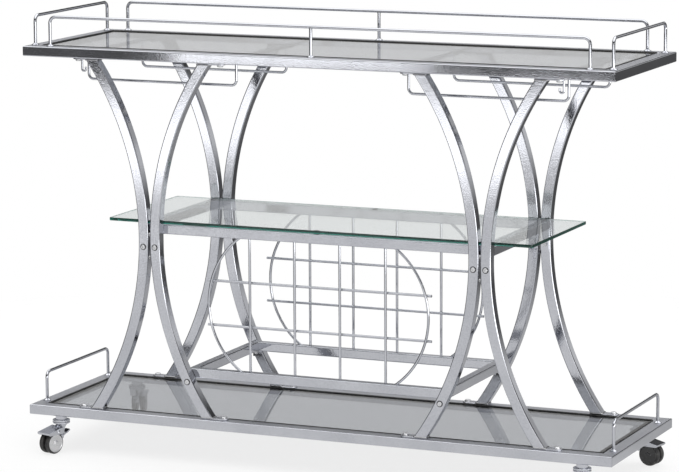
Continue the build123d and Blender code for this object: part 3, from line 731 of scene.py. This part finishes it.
def gap_shade_strip(low, high, corner):
    """Black strip round a glass panel, painted shade in the gap between the glass and the rails: each point
    of the section draws in the rectangle of the rails' inner walls, which is wider than the glass by the gap,
    by its inset and lifts it by its height above the glass."""
    gap = settings().glass.gap
    outline = sheet_outline(low, high, corner - gap)
    rows = [level_outline(outline(inset - gap), high.z + height)
            for inset, height in softened(GAP_SHADE_SECTION, GAP_SHADE_SOFTENING)]
    return closed_surface(np.concatenate(rows), grid_faces(len(rows), len(rows[0]), True, True))


def circles(section, centre, axis, sectors):
    """Rows of points of a surface of revolution about a level axis: a section point (r, w) at angle a goes to
    the centre plus w along the axis, plus r times (cos a along the level direction across the axis, sin a
    upwards)."""
    axis = np.asarray(axis, dtype=float)
    across = np.cross(axis, UP)
    a = full_turn(sectors)[None, :, None]
    r, w = section[:, 0][:, None, None], section[:, 1][:, None, None]
    return np.asarray(centre) + w * axis + r * (np.cos(a) * across + np.sin(a) * UP)


def turned(section, centre, axis, sectors):
    """Surface of revolution of a closed section that stays clear of the axis."""
    points = circles(section, centre, axis, sectors)
    return closed_surface(points.reshape(-1, 3), grid_faces(len(section), sectors, True, True))


def domed(section, centre, axis, sectors):
    """Surface of revolution of a section whose first and last points lie on the axis."""
    rows = circles(section, centre, axis, sectors)
    return capped(list(rows[1:-1]), rows[0][0], rows[-1][0])


def bead(path, radius, ripple, ripples, steps=8):
    """Weld bead: a circle carried along a closed path, its radius swelling and shrinking as
    radius x (1 + ripple x sin(ripples x angle)), the angle once round along the path."""
    ahead = np.roll(path, -1, axis=0) - np.roll(path, 1, axis=0)
    ahead /= np.linalg.norm(ahead, axis=1, keepdims=True)
    out = np.cross(ahead, UP)
    out /= np.linalg.norm(out, axis=1, keepdims=True)
    up = np.cross(out, ahead)
    swell = (radius * (1 + ripple * np.sin(ripples * full_turn(len(path)))))[:, None, None]
    a = full_turn(steps)[None, :, None]
    points = path[:, None, :] + swell * (np.cos(a) * out[:, None, :] + np.sin(a) * up[:, None, :])
    return closed_surface(points.reshape(-1, 3), grid_faces(len(path), steps, True, True))


def ring_path(x, y, z, radius, count=48):
    """Level circle."""
    a = full_turn(count)
    return level_outline(np.column_stack([x + radius * np.cos(a), y + radius * np.sin(a)]), z)


def saddle_path(x, y, z, radius, count=64):
    """Curve where an upright rod meets a level rod of the same radius along X from below: on the upright's
    circle, lower than the level rod's middle by the radius times the absolute cosine."""
    a = full_turn(count) + SADDLE_START
    drop = radius * np.abs(np.cos(a))
    return np.column_stack([x + radius * np.cos(a), y + radius * np.sin(a), z - drop])


def lump(centre, half, ripple, waves, rows=12, columns=20):
    """Closed weld lump: an ellipsoid with half sizes (x, y, z) whose level sections swell and shrink by the
    ripple, as cos(waves x height angle)."""
    t = np.linspace(0.0, np.pi, rows + 2)[1:-1, None]
    a = full_turn(columns)[None, :]
    swell = np.sin(t) * (1 + ripple * np.cos(waves * t))
    shape = np.stack([swell * np.cos(a), swell * np.sin(a), np.cos(t) + 0 * a], axis=-1)
    reach = half[2] * UP
    return capped(list(shape * half + np.asarray(centre)), centre + reach, centre - reach)


class Leg:
    """Measures of one curved leg, from its CAD box and its pair's. Its middle line is an arc through the
    waist and both plates on its side of the pair's middle, with the radius (s x s + h x h) / 2s, where s is
    how far the foot stands out from the waist and h half the height."""

    def __init__(self, pair, rank):
        sizes = settings().weld
        boxes = {each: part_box(f"leg_{pair}_{each}") for each in RANKS}
        self.name = f"{pair}_{rank}"
        self.low, self.high = boxes[rank]
        self.middle = (self.low + self.high) / 2
        self.rise = (self.high.z - self.low.z) / 2
        ends = [corner.x for box in boxes.values() for corner in box]
        self.pair_x = (min(ends) + max(ends)) / 2
        self.side = 1 if self.low.x > self.pair_x else -1
        sagitta = sizes.foot_splay - sizes.waist_offset
        self.radius = (sagitta ** 2 + self.rise ** 2) / (2 * sagitta)
        self.outwards = -1.0 if pair.startswith("front") else 1.0
        self.face_y = self.low.y if self.outwards < 0 else self.high.y

    def at(self, lift):
        """Place along X and lean of the middle line at a height above the waist: on a circle of the leg's
        radius, which touches the waist's upright; the lean is the arc sine of height / radius."""
        drawn_in = self.radius - math.sqrt(self.radius ** 2 - lift ** 2)
        x = self.pair_x + self.side * (settings().weld.waist_offset + drawn_in)
        return x, math.asin(lift / self.radius)


def legs_of(ranks):
    """The legs of the given ranks, pair by pair."""
    return [Leg(pair, rank) for pair in CORNERS for rank in ranks]


def tube_section(half, corner):
    """Rounded square, with an extra point on each flat side beside either corner, a small share of the side
    away, so that the flat sides shade flat."""
    outline = rounded_rectangle(half, half, corner, CORNER_STEPS).reshape(4, CORNER_STEPS, 2)
    step = (np.roll(outline, -1, axis=0)[:, :1] - outline[:, -1:]) * FLAT_MARGIN
    before = outline[:, :1] - np.roll(step, 1, axis=0)
    return np.concatenate([before, outline, outline[:, -1:] + step], axis=1).reshape(-1, 2)


def leg_tube(leg):
    """Curved square tube of a leg. At a height above the waist, a point of the section, out from the pair's
    middle by u and along Y by v, lies on an arc of radius (radius - u) about the middle line's centre."""
    sizes = settings().weld
    section = tube_section(sizes.leg_size / 2, sizes.leg_corner)
    reach = leg.rise - sizes.plate / 2
    lift = np.linspace(reach, -reach, LEG_STEPS)[:, None]
    u, v = section[:, 0][None, :], section[:, 1][None, :]
    drawn_in = leg.radius - np.sqrt((leg.radius - u) ** 2 - lift ** 2)
    x = leg.pair_x + leg.side * (sizes.waist_offset + drawn_in)
    rows = np.stack([x, leg.middle.y + v + 0 * lift, leg.middle.z + lift + 0 * v], axis=-1)
    return capped(list(rows), rows[0].mean(axis=0), rows[-1].mean(axis=0))


def leg_plate(leg, upper):
    """Foot or head plate of a leg: a slab whose outline is half a circle about the bolt and a square end
    behind the tube."""
    sizes = settings().weld
    half = sizes.leg_size / 2
    bolt = (leg.high.x if leg.side > 0 else leg.low.x) - leg.side * half
    start = leg.pair_x + leg.side * (sizes.foot_splay - sizes.plate_lap)
    a = np.linspace(-np.pi / 2, np.pi / 2, PLATE_STEPS)

    def outline(pull):
        curve = np.column_stack([bolt + leg.side * (half - pull) * np.cos(a), (half - pull) * np.sin(a)])
        inner_x = start + leg.side * pull
        corners = np.array([(inner_x, half - pull), (inner_x, pull - half)])
        return np.concatenate([curve, corners]) + (0.0, leg.middle.y)

    low_z = leg.high.z - sizes.plate if upper else leg.low.z
    surface, _ = slab(outline, low_z, low_z + sizes.plate, PLATE_ARRIS)
    return surface


def leg_outline(leg, level):
    """Path round a leg where it meets its plate, with even steps: the tube's square, stretched along X by
    1 / cos(lean)."""
    sizes = settings().weld
    lift = level * (leg.rise - sizes.plate)
    x, lean = leg.at(lift)
    half = sizes.leg_size / 2
    outline = rounded_rectangle(half / math.cos(lean), half, sizes.leg_corner, BEAD_CORNER_STEPS)
    loop = np.concatenate([outline, outline[:1]])
    reach = np.concatenate([[0.0], np.cumsum(np.linalg.norm(np.diff(loop, axis=0), axis=1))])
    even = np.linspace(0.0, reach[-1], BEAD_POINTS, endpoint=False)
    path = np.column_stack([np.interp(even, reach, loop[:, k]) for k in (0, 1)])
    return level_outline(path + (x, leg.middle.y), leg.middle.z + lift)


class CART_OT_trays(bpy.types.Operator):
    """Dress the frames, cross bars and tabs in chrome and the ledges under the glass in black, painted shade
    under the glass's edges
    """

    bl_idname = "bar_cart.trays"
    bl_label = "Frames"

    def execute(self, context):
        finish, sizes = settings().chrome, settings().weld
        trays = ("top_tray_frame", "base_tray_frame")
        for names, tube, depth in ((trays, sizes.tray_tube, finish.rail_grain_depth),
                                   (("shelf_frame",), sizes.frame_tube, finish.grain_depth),
                                   (("rack_frame",), sizes.frame_tube, finish.grain_depth)):
            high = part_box(names[0])[1]
            dress(names, chrome_material(f"chrome_{names[0]}", depth, (high.x, high.y, tube)))
        flats = ("top_cross_bars", "shelf_tabs", "rack_tabs")
        dress(flats, chrome_material("chrome_flats", finish.rod_grain_depth))
        dress(("top_tray_ledge", "base_tray_ledge"), gloss_material("ledge_painted_shade", finish.ledge_shade))
        return {"FINISHED"}


class CART_OT_legs(bpy.types.Operator):
    """Make the curved legs with their plates in hammered chrome"""

    bl_idname = "bar_cart.legs"
    bl_label = "Legs"

    def execute(self, context):
        chrome = chrome_material("chrome_legs", settings().chrome.grain_depth)
        for leg in legs_of(RANKS):
            plates = [leg_plate(leg, upper) for upper in (False, True)]
            piece = new_piece(f"curved_leg_{leg.name}", join([leg_tube(leg), *plates]), chrome)
            part_of_cart(piece, CART, "chrome", f"leg_{leg.name}")
        return {"FINISHED"}


class CART_OT_wires(bpy.types.Operator):
    """Dress the guard rails, hanging rails, hooks and bottle grids in smooth chrome"""

    bl_idname = "bar_cart.wires"
    bl_label = "Rails and wires"

    def execute(self, context):
        chrome = chrome_material("chrome_rods", settings().chrome.rod_grain_depth)
        dress(("guard_rail", "base_rail", "hanging_rail", "tool_hooks", "bottle_grid"), chrome)
        return {"FINISHED"}


class CART_OT_fixings(bpy.types.Operator):
    """Dress the bolts, screws, nuts and axles in zinc plate, and add the black rings of painted shade round
    the screw heads
    """

    bl_idname = "bar_cart.fixings"
    bl_label = "Fixings"

    def execute(self, context):
        finish = settings().chrome
        zinc = plated_material("zinc_fixings", finish.zinc, finish.zinc_dull, finish.rod_grain_depth,
                               rougher=finish.zinc_satin)
        dress(("tray_bolts", "waist_screws", "rack_screws", "frame_nuts", "caster_axle"), zinc)
        rings = new_piece("screw_shade_rings", join(self.rings()), gloss_material("screw_ring_shade", finish.screw_shade))
        part_of_cart(rings, CART, "fixings")
        return {"FINISHED"}

    @staticmethod
    def rings():
        """Black rings round the screw heads, painted shade where the heads meet the legs: a section turned
        about each screw of the waists and rack.
        """
        surfaces = []
        for screws, ranks in (("waist_screws", RANKS), ("rack_screws", ("inner",))):
            low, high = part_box(screws)
            z = (low.z + high.z) / 2
            for leg in legs_of(ranks):
                x, _ = leg.at(z - leg.middle.z)
                axis = (0.0, leg.outwards, 0.0)
                surfaces.append(turned(RING_SECTION, (x, leg.face_y, z), axis, RING_SECTORS))
        return surfaces


class CART_OT_glass(bpy.types.Operator):
    """Make the glass panels with ground edges and the black strips of painted shade round them, and dress the
    pads
    """

    bl_idname = "bar_cart.glass"
    bl_label = "Glass"

    def execute(self, context):
        finish = settings().glass
        grey = glass_material("tray_glass_grey", finish.tray_tint)
        green = glass_material("shelf_glass_green", finish.shelf_tint, finish.edge_tint)
        for node, material, slot in (("top_glass", grey, "tray_glass"), ("base_glass", grey, "tray_glass"),
                                     ("shelf_glass", green, "shelf_glass")):
            low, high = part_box(node)
            surface, edge = slab(sheet_outline(low, high, finish.corner), low.z, high.z, finish.arris)
            panel = new_piece(f"{node}_panel", surface, material)
            mask = panel.data.attributes.new("edge", "FLOAT", "POINT")
            mask.data.foreach_set("value", edge.astype(np.float32))
            part_of_cart(panel, CART, slot, node)
        # Painted shade: black rubber strips fill the gap between the tray glass and its rails.
        rubber = rubber_material("gap_shade_black")
        for node in ("top_glass", "base_glass"):
            gap_strip = new_piece(f"{node}_seal", gap_shade_strip(*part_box(node), finish.gap_shade_corner), rubber)
            part_of_cart(gap_strip, CART, "wheel_rubber")
        dress(("shelf_pads",), glass_material("clear_pads", finish.pad_tint))
        return {"FINISHED"}


class CART_OT_casters(bpy.types.Operator):
    """Dress the casters and make their grooved tyres, wheel discs and rivets"""

    bl_idname = "bar_cart.casters"
    bl_label = "Casters"

    def execute(self, context):
        finish, chrome = settings().wheel, settings().chrome
        steel = chrome_material("chrome_casters", chrome.rod_grain_depth)
        dress(("caster_stem", "caster_swivel", "brake_lever"), steel)
        # Painted reflection: light metal discs in front and black discs behind are lit and shaded copies of
        # one chrome cap.
        metal = plated_material("wheel_disc_painted_lit", finish.front_disc_lit, finish.front_disc_lit,
                                chrome.rail_grain_depth, rougher=finish.disc_satin)
        black = gloss_material("wheel_disc_painted_dark", finish.back_disc_dark)
        rubber = rubber_material("tyre_rubber")
        tyre_section = softened(TYRE_SECTION, TYRE_SOFTENING)
        for name in CORNERS:
            face, slot = (metal, "wheel_face") if name.startswith("front") else (black, "wheel_face_black")
            discs = new_piece(f"wheel_discs_{name}", self.pair_of_wheels(name, domed, DISC_SECTION), face)
            part_of_cart(discs, f"wheels_{name}", slot, f"wheel_faces_{name}")
            tyres = new_piece(f"tyres_{name}", self.pair_of_wheels(name, turned, tyre_section), rubber)
            part_of_cart(tyres, f"wheels_{name}", "wheel_rubber", f"caster_wheels_{name}")
            rivets = new_piece(f"hood_rivets_{name}", self.rivets(name), steel)
            part_of_cart(rivets, f"swivel_{name}", "chrome")
        return {"FINISHED"}

    @staticmethod
    def pair_of_wheels(name, revolve, section):
        """A wheel's section turned about a caster's axle, and its mirror image on the caster's other side."""
        roll = JOINTS[f"{name}_roll"]
        sectors = settings().wheel.sectors
        return join([revolve(section * (1, side), roll["pos_m"], roll["axis"], sectors) for side in (-1, 1)])

    @staticmethod
    def rivets(name):
        """Dome rivets on both walls of a caster's hood, turned about lines along the axle."""
        roll, pivot = JOINTS[f"{name}_roll"], JOINTS[f"{name}_swivel"]
        ahead = (Vector(roll["pos_m"]) - Vector(pivot["pos_m"])) * Vector((1.0, 1.0, 0.0))
        place = Vector(roll["pos_m"]) + ahead.normalized() * RIVET_AHEAD + Vector((0.0, 0.0, RIVET_UP))
        axle = Vector(roll["axis"])
        return join([domed(RIVET_SECTION, place + axle * side * RIVET_ASIDE, axle * side, RING_SECTORS)
                     for side in (-1.0, 1.0)])


class CART_OT_welds(bpy.types.Operator):
    """Add the weld beads at the legs' plates and waists, the bottle grids and the ends of the wires"""

    bl_idname = "bar_cart.welds"
    bl_label = "Welds"

    def execute(self, context):
        sizes = settings().weld
        metal = plated_material("weld_metal", sizes.metal, sizes.metal, settings().chrome.rod_grain_depth)
        for name, surfaces, nodes in (("leg_welds", self.leg_beads(sizes), ()),
                                      ("grid_welds", self.grid_lumps(sizes), ()),
                                      ("wire_welds", self.wire_beads(sizes), ()),
                                      ("waist_beads", self.waist_beads(sizes), ("waist_welds",))):
            piece = new_piece(name, join(surfaces), metal, WELD_SHARP)
            part_of_cart(piece, CART, "chrome", *nodes)
        return {"FINISHED"}

    @staticmethod
    def leg_beads(sizes):
        """Beads round both ends of every leg."""
        return [bead(leg_outline(leg, level), sizes.leg_bead, sizes.ripple, LEG_RIPPLES)
                for leg in legs_of(RANKS) for level in (-1, 1)]

    @staticmethod
    def grid_lumps(sizes):
        """Spot welds where the uprights and bowed ends of the bottle grids cross the level wires. A bowed end
        is an arc, so at a height above its middle it is drawn in from its bulge by
        radius - root(radius x radius - height x height)."""
        low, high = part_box("rack_frame")[1].z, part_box("shelf_frame")[0].z
        half = np.array([sizes.nugget, sizes.nugget_depth, sizes.nugget])
        uprights = [sizes.upright_pitch * pitch for pitch in GRID_PITCHES]
        lumps = []
        for face in ("front", "back"):
            box_low, box_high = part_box(f"bottle_grid_{face}")
            y = (box_low.y + box_high.y) / 2
            for z in (low + (high - low) * share for share in GRID_LEVELS):
                bow = math.sqrt(sizes.ring_radius ** 2 - (z - (low + high) / 2) ** 2)
                ring = sizes.ring_bulge - sizes.ring_radius + bow
                for x in (-ring, ring, *uprights):
                    lumps.append(lump((x, y, z), half, sizes.ripple, NUGGET_RIPPLES))
        return lumps

    @staticmethod
    def wire_beads(sizes):
        """Beads round the ends of the hanging rails, and under the long guard rails' middle posts."""
        beads = []
        for node in (n for n in NODES if n.startswith("hanging_rail")):
            low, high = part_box(node)
            y = (low.y + high.y) / 2
            wire = (high.y - low.y) / 2
            for x in (low.x + wire, high.x - wire):
                beads.append(bead(ring_path(x, y, high.z, wire), sizes.wire_bead, sizes.ripple, WIRE_RIPPLES))
        for face in ("front", "back"):
            low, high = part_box(f"guard_rail_{face}")
            path = saddle_path(0.0, (low.y + high.y) / 2, high.z - sizes.rod, sizes.rod)
            beads.append(bead(path, sizes.saddle_bead, sizes.ripple, SADDLE_RIPPLES))
        return beads

    @staticmethod
    def waist_beads(sizes):
        """Upright rippled beads in the waists of the leg pairs, where the CAD part has them."""
        low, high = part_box("waist_welds")
        half = np.array([sizes.waist_bead, sizes.waist_bead, sizes.waist_length / 2])
        beads = []
        for leg in legs_of(("outer",)):
            y = leg.face_y - leg.outwards * sizes.waist_inset
            for z in (low.z + half[2], high.z - half[2]):
                place = (leg.pair_x, y, z)
                beads.append(lump(place, half, sizes.waist_ripple, WAIST_RIPPLES, rows=WAIST_ROWS))
        return beads


def disc_surface(radius, rings, sectors):
    """Level disc: the point at (r, a) is (r cos a, r sin a, 0), r out to the rim and a once round."""
    r = np.linspace(0.0, radius, rings + 1)[1:, None]
    a = full_turn(sectors)[None, :]
    points = np.stack([r * np.cos(a), r * np.sin(a), np.zeros_like(r * a)], axis=-1).reshape(-1, 3)
    faces = (grid_faces(rings, sectors, False, True) + 1).tolist()
    step = np.arange(sectors)
    faces += np.column_stack([np.zeros_like(step), 1 + step, 1 + (step + 1) % sectors]).tolist()
    return np.concatenate([[[0.0, 0.0, 0.0]], points]), faces


def floor_glow(tree, place, look):
    """Adds the floor's light, of which reflections miss more behind the cart. Returns its output."""
    path = add_node(tree, "ShaderNodeLightPath").outputs
    mirrored = math_node(tree, "SUBTRACT", path["Is Glossy Ray"], path["Is Transmission Ray"])
    depth = parts_of(tree, place)["Y"]
    missed = map_range(tree, depth, 0.0, look.floor_dusk, look.front_loss, look.back_loss)
    kept = math_node(tree, "SUBTRACT", 1.0, math_node(tree, "MULTIPLY", mirrored, missed))
    return math_node(tree, "MULTIPLY", kept, look.floor_glow)


def floor_fade(tree, place, look):
    """Adds how far the floor has faded with the distance from the nearest point of its middle line, which is
    found by a dot product along the line. Returns its output."""
    end = tuple(look.floor_end)
    along = vector_node(tree, "DOT_PRODUCT", {0: place, 1: end}, "Value")
    share = map_range(tree, along, 0.0, Vector(end).length_squared)
    nearest = vector_node(tree, "SCALE", {0: end, "Scale": share}, "Vector")
    reach = vector_node(tree, "DISTANCE", {0: place, 1: nearest}, "Value")
    return map_range(tree, reach, look.floor_margin, look.floor_margin + look.floor_fade)


def floor_material(look):
    """Pale floor that can be seen through from below. It fades out with the distance from a middle line,
    which runs from under the cart to the floor's front end."""
    material, tree, shader = new_material("floor_pale")
    place = object_place(tree)
    white = rgba((1.0, 1.0, 1.0))
    feed(shader, {"Base Color": rgba(look.floor_colour), "Roughness": 0.9, "Specular IOR Level": 0.0,
                  "Emission Color": white, "Emission Strength": floor_glow(tree, place, look)})
    below = add_node(tree, "ShaderNodeNewGeometry").outputs["Backfacing"]
    gone = math_node(tree, "MAXIMUM", floor_fade(tree, place, look), below)
    clear = add_node(tree, "ShaderNodeBsdfTransparent").outputs["BSDF"]
    mix = add_node(tree, "ShaderNodeMixShader", {0: gone, 1: shader.outputs["BSDF"], 2: clear})
    output = next(n for n in tree.nodes if n.type == "OUTPUT_MATERIAL")
    feed(output, {"Surface": mix.outputs["Shader"]})
    return material


def studio_ramp(tree, height):
    """Adds the studio's levels over the upward part of a direction: a stop stands at (sin(height) + 1) / 2.
    Returns the output, which holds shares of the brightest level, and that level."""
    ramp = add_node(tree, "ShaderNodeValToRGB", {"Fac": map_range(tree, height, -1.0, 1.0)})
    brightest = max(level for _, level in STUDIO_LEVELS)
    stops = ramp.color_ramp.elements
    while len(stops) < len(STUDIO_LEVELS):
        stops.new(1.0)
    for stop, (degrees, level) in zip(stops, STUDIO_LEVELS):
        stop.position = (math.sin(math.radians(degrees)) + 1) / 2
        stop.color = rgba([level / brightest] * 3)
    return ramp.outputs["Color"], brightest


def studio_world(look):
    """Studio light that depends on the height above the horizon and is darker on the left, and behind and
    below the cart, for dark lines in the chrome; the camera, also through glass, sees a plain background."""
    world = bpy.data.worlds.new("studio")
    bpy.context.scene.world = world
    world.use_nodes = True
    tree = world.node_tree
    tree.nodes.clear()
    direction = add_node(tree, "ShaderNodeTexCoord").outputs["Generated"]
    parts = parts_of(tree, direction)
    levels, brightest = studio_ramp(tree, parts["Z"])
    left = map_range(tree, parts["X"], *LEFT_RANGE, LEFT_LEVEL * brightest, brightest)
    behind = map_range(tree, parts["Y"], *BEHIND_RANGE)
    below = map_range(tree, parts["Z"], *BELOW_RANGE, 0.0, DUSK)
    lit = math_node(tree, "SUBTRACT", 1.0, math_node(tree, "MULTIPLY", behind, below))
    scale = math_node(tree, "MULTIPLY", lit, left)
    scaled = vector_node(tree, "SCALE", {0: levels, "Scale": scale}, "Vector")
    path = add_node(tree, "ShaderNodeLightPath").outputs
    seen = math_node(tree, "MAXIMUM", path["Is Camera Ray"], path["Is Transmission Ray"])
    shade = mix_colours(tree, seen, scaled, rgba([look.background] * 3))
    light = add_node(tree, "ShaderNodeBackground", {"Color": shade})
    add_node(tree, "ShaderNodeOutputWorld", {"Surface": light.outputs["Background"]})


def light_panel(name, middle, width, height, level):
    """Upright soft box that faces the cart's upright middle line, with the power level x pi x area. The
    camera sees it only in reflections."""
    lamp = bpy.data.lights.new(name, "AREA")
    lamp.shape = "RECTANGLE"
    lamp.size = width
    lamp.size_y = height
    lamp.energy = level * math.pi * width * height
    panel = new_object(name, lamp)
    panel.location = middle
    ahead = Vector((-middle[0], -middle[1], 0.0))
    panel.rotation_euler = ahead.to_track_quat("-Z", "Y").to_euler()
    panel.visible_camera = False


def photo_camera(look):
    """Camera at the picture's viewing angle: its axes follow from azimuth, elevation and roll."""
    azimuth, elevation, roll = look.camera_azimuth, look.camera_elevation, look.camera_roll
    forward = Vector((-math.sin(azimuth) * math.cos(elevation), math.cos(azimuth) * math.cos(elevation),
                      -math.sin(elevation)))
    right = forward.cross((0.0, 0.0, 1.0)).normalized()
    up = right.cross(forward)
    turned_right = right * math.cos(roll) + up * math.sin(roll)
    turned_up = up * math.cos(roll) - right * math.sin(roll)
    lens = bpy.data.cameras.new("photo_camera")
    lens.sensor_fit = "HORIZONTAL"
    lens.sensor_width = SENSOR_WIDTH
    lens.lens = look.focal_pixels * SENSOR_WIDTH / IMAGE_WIDTH
    lens.clip_end = CLIP_END
    camera = new_object("photo_camera", lens)
    turn = Matrix((turned_right, turned_up, -forward)).transposed()
    place = Vector(look.camera_aim) - forward * look.camera_distance
    camera.matrix_world = Matrix.Translation(place) @ turn.to_4x4()
    bpy.context.scene.camera = camera


class CART_OT_stage(bpy.types.Operator):
    """Add the floor, the studio light and the camera"""

    bl_idname = "bar_cart.stage"
    bl_label = "Stage"

    def execute(self, context):
        look = settings().studio
        reach = Vector(look.floor_end).length + look.floor_margin + look.floor_fade
        floor = new_piece("floor", disc_surface(reach, FLOOR_RINGS, FLOOR_SECTORS), floor_material(look))
        studio_world(look)
        for name, middle, width, height, level in PANELS:
            light_panel(name, middle, width, height, getattr(look, level))
        photo_camera(look)
        context.scene.view_settings.view_transform = "Standard"
        return {"FINISHED"}


class CART_PT_sidebar(bpy.types.Panel):
    """Sidebar panel that lists the bar cart's steps"""

    bl_idname = "CART_PT_sidebar"
    bl_label = "Bar Cart"
    bl_space_type = "VIEW_3D"
    bl_region_type = "UI"
    bl_category = "Bar Cart"

    def draw(self, context):
        for step in OPERATORS:
            self.layout.operator(step.bl_idname)


OPERATORS = (CART_OT_trays, CART_OT_legs, CART_OT_wires, CART_OT_fixings, CART_OT_glass, CART_OT_casters,
             CART_OT_welds, CART_OT_stage)
CLASSES = (ChromeFinish, GlassFinish, WheelFinish, WeldSizes, StudioLook, BarCartSettings, *OPERATORS,
           CART_PT_sidebar)


def register():
    """Registers the add-on's classes and adds its settings to the scene."""
    for cls in CLASSES:
        bpy.utils.register_class(cls)
    bpy.types.Scene.bar_cart = PointerProperty(type=BarCartSettings)


def unregister():
    """Takes the settings and the classes away again."""
    del bpy.types.Scene.bar_cart
    for cls in reversed(CLASSES):
        bpy.utils.unregister_class(cls)


def main():
    """Registers the add-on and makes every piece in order."""
    register()
    bpy.ops.bar_cart.trays()
    bpy.ops.bar_cart.legs()
    bpy.ops.bar_cart.wires()
    bpy.ops.bar_cart.fixings()
    bpy.ops.bar_cart.glass()
    bpy.ops.bar_cart.casters()
    bpy.ops.bar_cart.welds()
    bpy.ops.bar_cart.stage()


if __name__ == "__main__":
    main()
